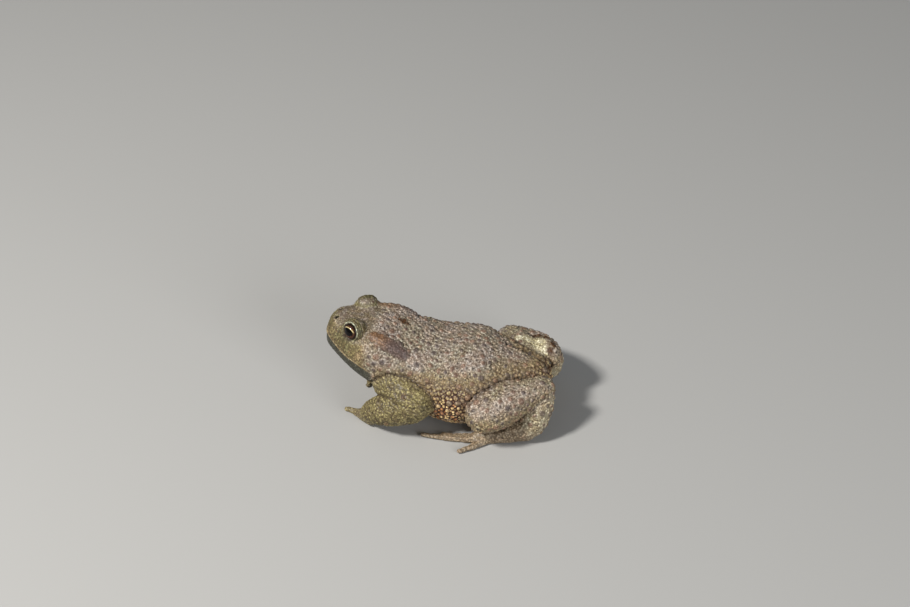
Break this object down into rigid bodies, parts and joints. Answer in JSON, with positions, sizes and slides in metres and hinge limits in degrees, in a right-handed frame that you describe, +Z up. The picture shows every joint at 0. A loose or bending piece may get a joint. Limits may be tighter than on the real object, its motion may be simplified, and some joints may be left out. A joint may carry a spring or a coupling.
{
  "type": "common toad",
  "caption": "Life-size common toad sitting at rest, head raised and turned a little, hind legs folded beside the body, hands turned in, warty skin and copper eyes.",
  "frame": {"origin": "middle of the bounding box of the whole toad, on the floor under the belly", "axes": "+Y from the snout to the rump, so the toad faces -Y; +X to the toad's left side; +Z up"},
  "size_m": [0.058, 0.0802, 0.0369],
  "materials": {
    "skin": "painted cast of dry, warty skin, matte with a faint moist sheen",
    "eye": "wet gloss over a copper iris with a level pupil"
  },
  "bodies": {
    "root": {"head": "skin", "lower_jaw": "skin", "trunk": "skin", "eye_left": "eye", "eye_right": "eye", "upper_arm_left": "skin", "forearm_left": "skin", "hand_left": "skin", "thigh_left": "skin", "shank_left": "skin", "tarsus_left": "skin", "foot_left": "skin", "upper_arm_right": "skin", "forearm_right": "skin", "hand_right": "skin", "thigh_right": "skin", "shank_right": "skin", "tarsus_right": "skin", "foot_right": "skin"}
  },
  "joints": []
}
